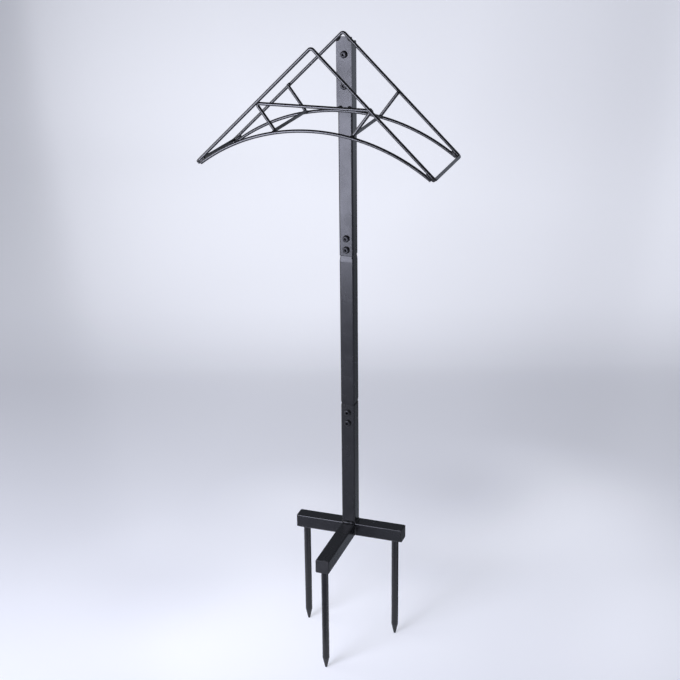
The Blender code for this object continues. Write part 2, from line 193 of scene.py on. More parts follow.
class HoseStandStudio(PropertyGroup):
    """Floor, backdrop, lights and camera."""

    floor: colour("Floor", (0.86, 0.88, 0.965), "Pale floor and backdrop")
    # Colour of the floor's painted light and shade, seen by camera and gloss.
    painted_light: colour("Floor Glow", (0.90, 0.92, 1.0), "Colour of the floor's tone for camera and gloss")
    sky: colour("Surround", (0.19, 0.195, 0.218), "Light from all round")
    room: share("Room In Gloss", 0.43, "Share of the surround that reflections see")
    key: power("Key Light", 19.2, "Power of the tall front light")
    fill: power("Fill Light", 14.0, "Power of the light on the left")
    top: power("Top Light", 1.0, "Power of the light over the floor")
    shadow: power("Shadow Light", 26.0, "Power of the light for the shadows")
    key_tint: colour("Key Tint", (0.795, 0.815, 1.0), "Colour of the front light")
    # Tints of the glowing panels that paint reflections on the stand.
    reflection_tint_behind: colour("Flag Behind", (0.78, 0.84, 1.0), "Tint of the panels behind")
    reflection_tint_ahead: colour("Flag Ahead", (0.375, 0.395, 0.485), "Tone of the panel in front")
    lens: FloatProperty(name="Lens", description="Focal length in millimetres", default=77.09, min=10)


def unit(vectors):
    """Vectors divided by their lengths."""
    return vectors / np.linalg.norm(vectors, axis=-1, keepdims=True)


def box(name):
    """Lowest corner, highest corner and middle of a node's box."""
    low, high = (np.array(corner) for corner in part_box(name))
    return low, high, (low + high) / 2


def shell(grid, along=False):
    """Vertices, quads and triangles of a closed surface from rows of rings.

    Ring r joins ring r + 1 with quads, column by column. With along the last ring joins the
    first, as in a hollow form. Otherwise each end ring is closed by triangles to its middle.
    """
    rows, cols = grid.shape[:2]
    ids = np.arange(rows * cols).reshape(rows, cols)
    side, ahead = np.roll(ids, -1, 1), np.roll(ids, -1, 0)
    quads = np.stack([ids, side, np.roll(ahead, -1, 1), ahead], -1)
    points = grid.reshape(-1, 3)
    if along:
        return points, quads.reshape(-1, 4), np.zeros((0, 3), int)
    first, last = np.full(cols, rows * cols), np.full(cols, rows * cols + 1)
    ends = np.r_[np.stack([side[0], ids[0], first], -1), np.stack([ids[-1], side[-1], last], -1)]
    points = np.r_[points, grid[:1].mean(1), grid[-1:].mean(1)]
    return points, quads[:-1].reshape(-1, 4), ends


def face_out(surface):
    """The same shell, turned if its signed volume, the sum of a . (b x c) of its triangles, is negative."""
    points, quads, triangles = surface
    corners = points[np.r_[quads[:, :3], quads[:, [0, 2, 3]], triangles]]
    volume = np.einsum("ij,ij->i", corners[:, 0], np.cross(corners[:, 1], corners[:, 2])).sum()
    return surface if volume > 0 else (points, quads[:, ::-1], triangles[:, ::-1])


def add_mesh(name, points, faces, material):
    """A mesh object of one material, in the scene."""
    data = bpy.data.meshes.new(name)
    data.from_pydata(points, [], faces)
    data.validate()
    data.materials.append(material)
    return add_object(name, data)


def add_object(name, data):
    """An object in the scene."""
    thing = bpy.data.objects.new(name, data)
    bpy.context.scene.collection.objects.link(thing)
    return thing


def add_piece(name, shells, material, slot, *nodes, sharp=35):
    """A finished piece of closed shells, on the stand's body, in place of the named nodes."""
    points, faces, start = [], [], 0
    for surface in shells:
        vertices, quads, triangles = face_out(surface)
        points.append(vertices)
        faces += (quads + start).tolist() + (triangles + start).tolist()
        start += len(vertices)
    piece = add_mesh(name, np.concatenate(points).tolist(), faces, material)
    piece.data.shade_smooth()
    piece.data.set_sharp_from_angle(angle=math.radians(sharp))
    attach(piece, "root")
    if nodes:
        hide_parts(*nodes)


def placed(grid, origin, along):
    """A grid made round its own Z, turned so that Z points along a direction, and moved to an origin."""
    turn = np.array(Vector(along).to_track_quat("Z", "Y").to_matrix())
    return grid @ turn.T + origin


def angles(count):
    """Even angles round a circle."""
    return np.arange(count) * 2 * np.pi / count


def outline(width, depth, corner, steps=8):
    """Rings of a rectangle with round corners, one for each row of width, depth and corner.

    Each quarter is the corner's centre plus corner * (cos t, sin t) over its quarter turn, with
    one more point GUARD before it and one after it, along the flats.
    """
    width, depth, corner = np.broadcast_arrays(*np.atleast_1d(width, depth, corner))
    signs = np.array([(1, 1), (-1, 1), (-1, -1), (1, -1)])
    t = angles(4)[:, None] + np.r_[0, np.linspace(0, np.pi / 2, steps + 1), np.pi / 2]
    past = np.r_[-GUARD, np.zeros(steps + 1), GUARD][:, None]
    half = np.stack([width / 2 - corner, depth / 2 - corner], -1)[:, None, None]
    rings = half * signs[:, None] + corner[:, None, None, None] * np.stack([np.cos(t), np.sin(t)], -1)
    rings = rings + past * np.stack([-np.sin(t), np.cos(t)], -1)
    return rings.reshape(len(width), -1, 2)


def lofted(heights, rings):
    """A grid with ring r of rings laid at heights[r]."""
    heights = np.broadcast_to(heights[:, None, None], rings.shape[:2] + (1,))
    return np.concatenate([rings, heights], -1)


def turned(heights, radii, sides=48):
    """A surface of revolution: radius * (cos t, sin t) at each height. radii may also vary with t."""
    t = angles(sides)
    radii = radii[:, None] if radii.ndim == 1 else radii
    rings = radii[..., None] * np.stack([np.cos(t), np.sin(t)], -1)
    return lofted(heights, rings)


def eased(start, end, ease, steps=4):
    """Heights and insets of a run with two rounded ends.

    Over a quarter turn t the height leaves the end by ease * (1 - cos t) and the outline
    is drawn in by ease * (1 - sin t), then one more row follows GUARD further on; the other
    end mirrors it.
    """
    t = np.linspace(0, np.pi / 2, steps + 1)
    rise = np.append(ease * (1 - np.cos(t)), ease + GUARD)
    inset = np.append(ease * (1 - np.sin(t)), 0.0)
    return np.r_[start + rise, (end - rise)[::-1]], np.r_[inset, inset[::-1]]


def hollow(heights, sides, corners, bores, bore_corners):
    """Outer wall up and inner wall down along Z."""
    outer = lofted(heights, outline(sides, sides, corners))
    inner = lofted(heights, outline(bores, bores, bore_corners))
    return np.r_[outer, inner[::-1]]


def smooth_step(t):
    """3 t^2 - 2 t^3 between 0 and 1."""
    t = np.clip(t, 0, 1)
    return t * t * (3 - 2 * t)


def rounded_corners(corners, radius, closed=False, steps=10):
    """Centre line of a bent wire and its unit tangents.

    At each corner the point is centre + a cos t + b sin t over the turn, with a from the
    bend's centre to where the bend starts and b along the incoming run, of the bend's radius.
    One more point lies GUARD before each bend and one after it, on the straight runs.
    """
    corners = np.array(corners)
    back, ahead = unit(np.roll(corners, 1, 0) - corners), unit(np.roll(corners, -1, 0) - corners)
    turn = np.pi - np.arccos(np.clip((back * ahead).sum(-1), -1, 1))
    centre = corners + unit(back + ahead) * (radius / np.cos(turn / 2))[:, None]
    a = corners + back * (radius * np.tan(turn / 2))[:, None] - centre
    b = -back * radius
    t = (turn[:, None] * np.linspace(0, 1, steps + 1))[..., None]
    arcs = centre[:, None] + a[:, None] * np.cos(t) + b[:, None] * np.sin(t)
    leads = unit(b[:, None] * np.cos(t) - a[:, None] * np.sin(t))
    arcs = np.concatenate([arcs[:, :1] - GUARD * leads[:, :1], arcs, arcs[:, -1:] + GUARD * leads[:, -1:]], 1)
    leads = np.concatenate([leads[:, :1], leads, leads[:, -1:]], 1)
    if closed:
        return arcs.reshape(-1, 3), leads.reshape(-1, 3)
    path = np.r_[corners[:1], arcs[1:-1].reshape(-1, 3), corners[-1:]]
    return path, np.r_[ahead[:1], leads[1:-1].reshape(-1, 3), -back[-1:]]


def round_bar(path, tangents, radii, sides):
    """A round form along a path: path + radius * (u cos t + v sin t).

    u is the unit cross product of a fixed slanting direction and the tangent, v = tangent x u.
    """
    u = unit(np.cross((0.31, 0.22, 0.925), tangents))
    v = np.cross(tangents, u)
    t = angles(sides)[:, None]
    ring = u[:, None] * np.cos(t) + v[:, None] * np.sin(t)
    return path[:, None] + ring * np.broadcast_to(radii, len(path))[:, None, None]


def bar_ends(path, tangents, radius, ease=0.0004, steps=3):
    """Path, tangents and radii with both flat ends eased over a quarter turn."""
    t = np.linspace(0, np.pi / 2, steps + 1)[:-1]
    rise, inset = ease * (1 - np.cos(t)), ease * (1 - np.sin(t))
    head = path[:1] + tangents[:1] * rise[:, None]
    tail = path[-1:] - tangents[-1:] * rise[::-1, None]
    body = path.copy()
    body[0] += tangents[0] * ease
    body[-1] -= tangents[-1] * ease
    leads = np.r_[np.repeat(tangents[:1], steps, 0), tangents, np.repeat(tangents[-1:], steps, 0)]
    radii = np.r_[radius - inset, np.full(len(path), radius), radius - inset[::-1]]
    return np.r_[head, body, tail], leads, radii


def ripple(along, seed):
    """Weld ripples: 1 + fine even waves of the puddle + slow uneven swelling, along a bead in metres."""
    fine = 0.05 * np.abs(np.sin(np.pi * along / 0.0011 + seed))
    slow = 0.07 * np.sin(along / 0.0031 + 2.1 * seed) + 0.05 * np.sin(along / 0.0017 + 5.3 * seed)
    return 1 + fine + slow


def bead(start, end, radius, seed, rows=40, sides=18, bow=(0, 0, 0)):
    """A weld bead from start to end: radius * (1 - |2s - 1|^3.5)^0.5 * ripple, bowed by a parabola."""
    s = np.linspace(0.004, 0.996, rows)
    start, end = np.array([start, end])
    path = start + (end - start) * s[:, None] + np.outer(4 * s * (1 - s), bow)
    tangents = unit(np.gradient(path, axis=0))
    span = np.linalg.norm(end - start)
    radii = radius * np.sqrt(1 - np.abs(2 * s - 1) ** 3.5) * ripple(s * span, seed)
    return shell(round_bar(path, tangents, radii, sides))


def tack(spot, way, reach, radius, seed, rows=24):
    """A bead laid evenly to both sides of a spot along a direction."""
    spot, half = np.array(spot), way * reach
    return bead(spot - half, spot + half, radius, seed, rows)


def ring_bead(centre, around, radius, seed, rows=96, sides=14):
    """A weld bead round an upright bar: a ring whose thickness follows the ripple, closed on itself."""
    t = angles(rows)
    path = centre + around * np.stack([np.cos(t), np.sin(t), 0 * t], -1)
    slow = 0.08 * np.sin(3 * t + seed) + 0.05 * np.sin(7 * t + 2 * seed)
    swell = 1 + 0.08 * np.abs(np.sin(16 * t + seed)) + slow
    tangents = np.stack([-np.sin(t), np.cos(t), 0 * t], -1)
    return shell(round_bar(path, tangents, radius * swell, sides), along=True)


def hexagon(across_flats, t):
    """Distance to a hexagon's side in direction t: half the flats over cos of the angle off a flat."""
    off = (t + np.pi / 6) % (np.pi / 3) - np.pi / 6
    return across_flats / 2 / np.cos(off)


class Rack:
    """Places of the rack's centre lines, worked out from the frame's boxes and the wire sizes."""

    def __init__(self, size):
        self.size = size
        self.front = box("front_arch_wire")[2][1]
        self.back = box("back_arch_wire")[2][1]
        self.plate_low, high, _ = box("rack_plate")
        self.apex = high[2] + size.apex_above_plate
        self.ends = self.apex - size.rise
        self.slope = size.rise / size.half_width
        self.arch_top = self.plate_low[2] - size.lap + size.diameter / 2
        self.span = size.half_width - size.arch_inset
        foot = self.apex - self.slope * self.span - size.lap * math.hypot(1, self.slope)
        drop = self.arch_top - foot
        self.arch_radius = (self.span**2 + drop**2) / (2 * drop)

    def arch_height(self, x):
        """Height of the arch's centre line."""
        return self.arch_top - self.arch_radius + math.sqrt(self.arch_radius**2 - x**2)

    def frame_corners(self):
        """Corners of the closed loop: front slopes, right end rod, back slopes, left end rod."""
        w = self.size.half_width
        front = [(-w, self.front, self.ends), (0, self.front, self.apex), (w, self.front, self.ends)]
        return front + [(x, self.back, z) for x, _, z in reversed(front)]

    def cradle_corners(self):
        """Corners of the cradle wire from its left back end to its right back end."""
        size = self.size
        shoulder, rod = size.crossbar_drop / self.slope, size.cradle_half_width
        top, foot = self.apex - size.crossbar_drop, self.arch_height(rod) + size.cradle_above_arch
        front, back = self.front + size.lap, self.back - size.lap
        right = [(shoulder, front, top), (rod, front, foot), (rod, back, foot), (shoulder, back, top)]
        return [(-x, y, z) for x, y, z in reversed(right)] + right

    def arch_line(self, y, rows=72):
        """Centre line and tangents of an arch: x = R sin t, z = top - R + R cos t."""
        reach = math.asin(self.span / self.arch_radius)
        t = np.linspace(-reach, reach, rows)
        rise = self.arch_top - self.arch_radius + self.arch_radius * np.cos(t)
        path = np.stack([self.arch_radius * np.sin(t), np.full(rows, y), rise], -1)
        return path, np.stack([np.cos(t), 0 * t, -np.sin(t)], -1)


class Graph:
    """Nodes of a material or a world."""

    def __init__(self, tree):
        self.nodes, self.links = tree.nodes, tree.links

    def feed(self, node, values):
        """Sockets of a node linked to outputs, or set to plain values."""
        for name, value in values.items():
            if isinstance(value, bpy.types.NodeSocket):
                self.links.new(value, node.inputs[name])
            else:
                node.inputs[name].default_value = value

    def node(self, kind, output, values=None, **settings):
        """An output of a new node, whose sockets are fed."""
        node = self.nodes.new("ShaderNode" + kind)
        for name, value in settings.items():
            setattr(node, name, value)
        self.feed(node, values or {})
        return node.outputs[output]

    def spread(self, value, low, high, start=0.3, end=0.7, **settings):
        """A value between start and end mapped to low and high."""
        values = {"From Min": start, "From Max": end, "To Min": low, "To Max": high, "Value": value}
        return self.node("MapRange", "Result", values, **settings)

    def joined(self, operation, first, second):
        """Two values put together by a Math node."""
        return self.node("Math", "Value", {0: first, 1: second}, operation=operation)


class Surface(Graph):
    """A material with its Principled shader and object coordinates."""

    def __init__(self, name, base, roughness, metallic=0.0, ior=1.5):
        self.material = bpy.data.materials.new(name)
        self.material.use_nodes = True
        super().__init__(self.material.node_tree)
        self.shader = self.nodes["Principled BSDF"]
        self.shade({"Base Color": (*base, 1), "Roughness": roughness, "Metallic": metallic, "IOR": ior})
        self.place = self.node("TexCoord", "Object")

    def shade(self, values):
        """Sockets of the shader fed."""
        self.feed(self.shader, values)

    def noise(self, scale, detail=2.0, rough=0.5):
        """Fractal noise of a number of features per metre."""
        values = {"Scale": scale, "Detail": detail, "Roughness": rough, "Vector": self.place}
        return self.node("TexNoise", "Fac", values)

    def two_tone(self, value, base, dark, light):
        """The base colour, moved by a value from a dark multiple of it to a light one."""
        ramp = self.nodes.new("ShaderNodeValToRGB")
        for stop, spot, factor in zip(ramp.color_ramp.elements, (0.3, 0.7), (dark, light)):
            stop.color = (*(min(1.0, channel * factor) for channel in base), 1)
            stop.position = spot
        self.feed(ramp, {"Fac": value})
        self.shade({"Base Color": ramp.outputs["Color"]})

    def relief(self, *layers):
        """Bumps chained on each other: pairs of a height value and its depth in metres."""
        chain = {}
        for height, depth in layers:
            chain.update({"Strength": 1.0, "Distance": depth, "Height": height})
            chain = {"Normal": self.node("Bump", "Normal", chain)}
        self.shade(chain)

    def graded(self, way, stops):
        """A smooth curve of painted light along a direction, through stops of (metres from the origin, tone).
        """
        low, high = stops[0][0], stops[-1][0]
        along = self.node("VectorMath", "Value", {0: self.place, 1: way}, operation="DOT_PRODUCT")
        curve = self.nodes.new("ShaderNodeFloatCurve")
        points = curve.mapping.curves[0].points
        for spot, tone in stops[1:-1]:
            points.new((spot - low) / (high - low), tone)
        points[0].location = (0.0, stops[0][1])
        points[-1].location = (1.0, stops[-1][1])
        curve.mapping.update()
        self.feed(curve, {"Value": self.spread(along, 0.0, 1.0, low, high)})
        return curve.outputs["Value"]

    def pool(self, spot, reach, gain):
        """A soft round pool of painted light, painted shade where the gain is negative: 1 + gain at its spot,
        1 from its reach outwards, along a smooth step.
        """
        away = self.node("VectorMath", "Value", {0: self.place, 1: (*spot, 0.0)}, operation="DISTANCE")
        return self.spread(away, 1.0 + gain, 1.0, 0.0, reach, interpolation_type="SMOOTHSTEP")


def powder_coat(name, finish, peel=1.0, roughness=None, depth=1.0, ior=1.52):
    """Black powder coat: orange peel, faint mottling of gloss, and a colour scaled by depth, which paints
    shade into darker copies of the coat.
    """
    rough = finish.coat_roughness if roughness is None else roughness
    coat = Surface(name, finish.coat, rough, ior=ior)
    coat.shade({"Roughness": coat.spread(coat.noise(34.0, 3.0), rough - 0.035, rough + 0.045)})
    coat.two_tone(coat.noise(11.0, 4.0, 0.6), finish.coat, 0.85 * depth, 1.2 * depth)
    skin, grit = finish.coat_peel * peel, finish.coat_peel * 0.35 * peel
    coat.relief((coat.noise(620.0, 1.5), skin), (coat.noise(2100.0, 1.0), grit))
    return coat.material


def moulded_plastic(name, finish):
    """Black cap plastic: fine moulded grain and slightly uneven gloss."""
    rough = finish.plastic_roughness
    plastic = Surface(name, finish.plastic, rough, ior=1.46)
    cloud = plastic.noise(90.0)
    plastic.shade({"Roughness": plastic.spread(cloud, rough - 0.05, rough + 0.06)})
    plastic.two_tone(cloud, finish.plastic, 0.9, 1.15)
    plastic.relief((plastic.noise(1500.0), 0.00002))
    return plastic.material


def black_plating(name, finish):
    """Black plated steel: dark, partly metallic, with brushed unevenness and rubbed spots."""
    rough = finish.plating_roughness
    plating = Surface(name, finish.plating, rough, metallic=0.55, ior=1.5)
    rubbed = plating.noise(420.0, 4.0, 0.65)
    plating.shade({"Roughness": plating.spread(rubbed, rough - 0.08, rough + 0.1)})
    plating.two_tone(rubbed, finish.plating, 0.7, 1.6)
    plating.relief((plating.noise(2600.0), 0.000006))
    return plating.material


class PiecesOperator:
    """What the operators share."""

    bl_options = {"REGISTER", "UNDO"}

    def coat(self, context, name="tube_powder_coat", **more):
        """A named powder coat."""
        return bpy.data.materials.get(name) or powder_coat(name, context.scene.hose_stand_finish, **more)

    def weld_coat(self, context):
        """The coat over the welds, with a coarser peel, its colour halved as painted shade on the beads."""
        return self.coat(context, "weld_powder_coat", peel=3.0, roughness=0.3, depth=0.5)

    def tube(self, context, piece, node, way):
        """A straight square tube over the length of a node's box, its sawn ends rounded."""
        size = context.scene.hose_stand_tubes
        low, high, middle = box(node)
        side, half = np.min(high - low), abs((high - low) @ way) / 2
        heights, inset = eased(-half, half, size.sawn_edge)
        bore = side - 2 * size.wall + 2 * inset
        walls = hollow(heights, side - 2 * inset, size.corner - inset, bore, size.bore_corner + inset)
        add_piece(piece, [shell(placed(walls, middle, way), along=True)], self.coat(context), TUBES, node)

    def fasten(self, context, kind, ending, body, way, sharp, above=0.0, along=False):
        """The fasteners of a kind, each a body from its seat at a height above its box's front."""
        name, size = "black_plating", context.scene.hose_stand_fasteners
        plating = bpy.data.materials.get(name) or black_plating(name, context.scene.hose_stand_finish)
        for label in JOINTS:
            node = kind + label
            low, high, middle = box(node)
            seat = low[1] + above
            form = placed(body(size, high[1] - seat), (0, seat, middle[2]), way)
            add_piece(node + ending, [shell(form, along)], plating, FASTENERS, node, sharp=sharp)
        return {"FINISHED"}


def middle_tube(size, coat):
    """Middle tube: over each taper its side swells from the spigot's by a quarter of a sine."""
    low, high, middle = box("middle_post_tube")
    below, above = box("lower_post_tube")[1][2], box("upper_post_tube")[0][2]
    side = high[0] - low[0]
    spigot = side - 2 * (size.wall + size.fit)
    spots = np.append(np.linspace(0, 1, 13), 1 + GUARD / size.lower_taper)
    foot = below + size.neck + size.lower_taper * spots
    crown = above - size.neck - size.upper_taper * spots
    rises = np.r_[foot, crown[::-1]]
    swell = np.sin(np.minimum(spots, 1) * np.pi / 2)
    waist = spigot + (side - spigot) * np.r_[swell, swell[::-1]]
    heights, inset = eased(low[2], high[2], size.sawn_edge)
    count = len(heights) // 2
    heights = np.r_[heights[:count], rises, heights[count:]]
    sides = np.r_[spigot - 2 * inset[:count], waist, spigot - 2 * inset[count:]]
    bores = np.r_[spigot + 2 * inset[:count], waist, spigot + 2 * inset[count:]] - 2 * size.wall
    walls = hollow(heights, sides, size.corner - size.sawn_edge, bores, size.bore_corner)
    tube = shell(placed(walls, (0, middle[1], 0), UP), along=True)
    add_piece("middle_post", [tube], coat, TUBES, "middle_post_tube")


class HOSESTAND_OT_post(PiecesOperator, Operator):
    """Lower, middle and upper tube of the post"""

    bl_idname = "hose_stand.post"
    bl_label = "Post Tubes"

    def execute(self, context):
        self.tube(context, "lower_post", "lower_post_tube", UP)
        self.tube(context, "upper_post", "upper_post_tube", UP)
        middle_tube(context.scene.hose_stand_tubes, self.coat(context))
        return {"FINISHED"}


class HOSESTAND_OT_base(PiecesOperator, Operator):
    """Cross bar and front arm of the base"""

    bl_idname = "hose_stand.base"
    bl_label = "Base Arms"

    def execute(self, context):
        self.tube(context, "cross_bar", "base_cross_bar", RIGHTWARD)
        self.tube(context, "front_arm", "base_front_arm", FORWARD)
        return {"FINISHED"}


def cap_form(size, side, depth):
    """Plug, flange and a gently crowned face whose edge is rounded, along Z, with its face at 0."""
    inset, clearance, lead, crown = 0.0002, 0.0003, 0.0005, 0.00012
    bore = side + 2 * inset - 2 * size.wall - 2 * clearance
    edge, flange, plug, face = size.cap_edge, -size.cap_flange, size.bore_corner, size.corner
    t = np.linspace(0, np.pi / 2, 7)
    drawn = edge * (1 - np.cos(t))
    rounded = -edge + edge * np.sin(t) - crown
    heights = np.r_[-depth, -depth + lead, flange, flange, rounded, -crown / 3, 0.0]
    sides = np.r_[bore - 2 * lead, bore, bore, side, side - 2 * drawn, side * 0.7, side * 0.35]
    corners = np.r_[plug, plug, plug, face, face - 0.6 * drawn, face, face]
    return lofted(heights, outline(sides, sides, corners))


class HOSESTAND_OT_caps(PiecesOperator, Operator):
    """Plastic caps in the arms' ends and on the post"""

    bl_idname = "hose_stand.caps"
    bl_label = "End Caps"

    def execute(self, context):
        size = context.scene.hose_stand_tubes
        plastic = moulded_plastic("cap_plastic", context.scene.hose_stand_finish)
        for name, along in (
            ("arm_cap_left", (-1, 0, 0)), ("arm_cap_right", RIGHTWARD),
            ("arm_cap_front", FORWARD), ("post_top_cap", UP),
        ):
            low, high, middle = box(name)
            way = np.array(along, float)
            depth = abs((high - low) @ way)
            cap = placed(cap_form(size, np.max(high - low), depth), middle + way * depth / 2, along)
            add_piece(name + "_moulding", [shell(cap)], plastic, CAPS, name)
        return {"FINISHED"}


def spike_profile(size, foot, top, radius):
    """Round nose, then a cone whose shoulder is blended by a smooth step, then the straight bar."""
    t = np.linspace(0.05, 1, 5) * np.pi / 2
    nose = size.spike_nose
    rise = np.linspace(0.0, 1.25, 40)
    cone = nose + (radius - nose) * np.clip(rise, 0, 1)
    blend = smooth_step((rise - 0.85) / 0.3)
    cone = cone * (1 - blend) + radius * blend
    blunt = 0.3 * nose
    heights = np.r_[foot + blunt * (1 - np.cos(t)), foot + blunt + size.spike_point * rise[1:], top]
    return heights, np.r_[nose * np.sin(t), cone[1:], radius]


class HOSESTAND_OT_spikes(PiecesOperator, Operator):
    """Round ground spikes with blunt points"""

    bl_idname = "hose_stand.spikes"
    bl_label = "Ground Spikes"

    def execute(self, context):
        size = context.scene.hose_stand_tubes
        # The spikes' coat is a darker copy of the tube coat: painted shade.
        coat = self.coat(context, "spike_powder_coat", peel=1.2, depth=0.55)
        for side in SIDES:
            node = "ground_spike_" + side
            low, high, middle = box(node)
            radius = (high[0] - low[0]) / 2 + size.spike_coat
            bar = turned(*spike_profile(size, low[2], high[2], radius))
            add_piece("spike_" + side, [shell(bar + middle * (1, 1, 0))], coat, TUBES, node)
        return {"FINISHED"}


class HOSESTAND_OT_plate(PiecesOperator, Operator):
    """Flat plate that carries the rack"""

    bl_idname = "hose_stand.plate"
    bl_label = "Rack Plate"

    def execute(self, context):
        size = context.scene.hose_stand_tubes
        low, high, middle = box("rack_plate")
        width, thickness, height = high - low
        heights, inset = eased(0, thickness, size.plate_edge)
        heights = np.r_[heights[0], heights, heights[-1]]
        inset = np.r_[inset[0] + GUARD, inset, inset[-1] + GUARD]
        rings = outline(width - 2 * inset, height - 2 * inset, size.plate_corner - inset)
        plate = placed(lofted(heights, rings), (0, high[1], middle[2]), FORWARD)
        add_piece("plate", [shell(plate)], self.coat(context), TUBES, "rack_plate")
        return {"FINISHED"}


class HOSESTAND_OT_rack(PiecesOperator, Operator):
    """Bent wires of the rack: frame loop, two arches and the cradle"""

    bl_idname = "hose_stand.rack"
    bl_label = "Rack Wires"

    def execute(self, context):
        size = context.scene.hose_stand_wires
        rack = Rack(size)
        # The wires' coat is a darker copy of the tube coat: painted shade on the wires.
        coat = self.coat(context, "wire_powder_coat", peel=0.8, depth=0.35, ior=1.78)
        radius = size.diameter / 2 + size.coat_build
        path, tangents = rounded_corners(rack.frame_corners(), size.frame_bend, closed=True)
        loop = shell(round_bar(path, tangents, radius, size.around), along=True)
        add_piece("rack_frame", [loop], coat, WIRES, "rack_frame_wire")
        for name, line in (
            ("front_arch", rack.arch_line(rack.front)),
            ("back_arch", rack.arch_line(rack.back)),
            ("hose_cradle", rounded_corners(rack.cradle_corners(), size.cradle_bend)),
        ):
            bar = round_bar(*bar_ends(*line, radius), size.around)
            add_piece(name, [shell(bar)], coat, WIRES, name + "_wire")
        return {"FINISHED"}


def rack_tacks(rack, size):
    """Short beads laid along one of the two wires, between their centre lines."""
    crossings, ends, plate = [], [], []
    top, shoulder = rack.apex - size.crossbar_drop, size.crossbar_drop / rack.slope
    rod = size.cradle_half_width
    foot = rack.arch_height(rod) + size.cradle_above_arch / 2
    reach, near_end, beside_apex, step = 0.0042, rack.span - 0.007, 0.0095, 0.001
    lean = (rack.arch_height(rod + step) - rack.arch_height(rod - step)) / (2 * step)
    wedge = (rack.apex - rack.slope * near_end + rack.arch_height(near_end)) / 2
    seed = 0.0
    for side in (-1, 1):
        down = unit(np.array([side, 0, -rack.slope]))
        level = unit(np.array([side, 0, lean]))
        tip = unit(np.array([side * 0.8, 0, -0.6]))
        for y, inward in ((rack.front, 1), (rack.back, -1)):
            seed += 1.3
            between = y + inward * size.lap / 2
            spot = (side * shoulder, between, top + 0.0008)
            crossings.append(tack(spot, down, reach, size.tack * 1.2, seed))
            crossings.append(tack((side * rod, between, foot), level, reach, size.tack, seed + 0.7))
            start = np.array([side * near_end, y, wedge]) - tip * 0.001
            end = (side * (size.half_width - 0.0005), y + inward * 0.0015, rack.ends - 0.0028)
            ends.append(bead(start, end, size.tack * 1.35, seed + 0.2, rows=32))
        _, face, bottom = rack.plate_low
        spot = (side * beside_apex, face + 0.0002, rack.apex - rack.slope * beside_apex - 0.0032)
        plate.append(tack(spot, down, 0.0045, size.tack * 1.25, seed + 0.4, rows=28))
        spot = (side * 0.0083 + 0.0012, face - 0.0004, bottom + 0.0012)
        plate.append(tack(spot, level, 0.004, size.tack * 1.4, seed + 0.9, rows=28))
    return crossings, ends, plate


class HOSESTAND_OT_rack_welds(PiecesOperator, Operator):
    """Tack welds where the rack's wires cross and where they meet the plate"""

    bl_idname = "hose_stand.rack_welds"
    bl_label = "Rack Welds"

    def execute(self, context):
        size = context.scene.hose_stand_wires
        names = ("crossing_welds", "arch_end_welds", "plate_welds")
        for name, beads in zip(names, rack_tacks(Rack(size), size)):
            add_piece(name, beads, self.weld_coat(context), WIRES)
        return {"FINISHED"}


class HOSESTAND_OT_base_welds(PiecesOperator, Operator):
    """Beads round the post's foot, beside the front arm and round the spikes"""

    bl_idname = "hose_stand.base_welds"
    bl_label = "Base Welds"

    def execute(self, context):
        size, coat = context.scene.hose_stand_wires, self.weld_coat(context)
        low, high, _ = box("base_cross_bar")
        front, back, under, top = low[1], high[1], low[2], high[2]
        half, close, rows = (top - under) / 2, 0.0002, 60
        run = half - 0.0012

        def across(y, z, part, seed, sag=0.0):
            """A bead from side to side of the post, sagging in its middle."""
            return bead((-run, y, z), (run, y, z), size.bead * part, seed, rows, bow=(0, 0, sag))

        foot = [across(front - 0.0006, top + 0.0008, part=1.3, seed=0.4, sag=-0.0004)]
        foot.append(across(back - 0.0014, top + close, part=0.8, seed=1.9))
        start, end = front + 0.002, back - 0.002
        for x, seed in ((-half, 2.6), (half, 3.7)):
            foot.append(bead((x, start, top + close), (x, end, top + close), size.bead * 0.9, seed, rows))
        add_piece("post_foot_welds", foot, coat, TUBES)
        arm = []
        start, end = under + 0.0022, top - 0.0022
        for side in (-1, 1):
            x = side * half
            arm.append(bead((x, front, start), (x, front, end), size.bead * 0.92, 4.1 + side, rows))
        arm.append(across(front, under + 0.0012, part=0.7, seed=5.5))
        add_piece("arm_joint_welds", arm, coat, TUBES)
        rings = []
        for count, side in enumerate(SIDES):
            low, high, middle = box("ground_spike_" + side)
            centre = np.array([middle[0], middle[1], under + 0.0001])
            rings.append(ring_bead(centre, (high[0] - low[0]) / 2 + 0.0003, 0.0013, count * 2.3))
        add_piece("spike_welds", rings, coat, TUBES)
        return {"FINISHED"}


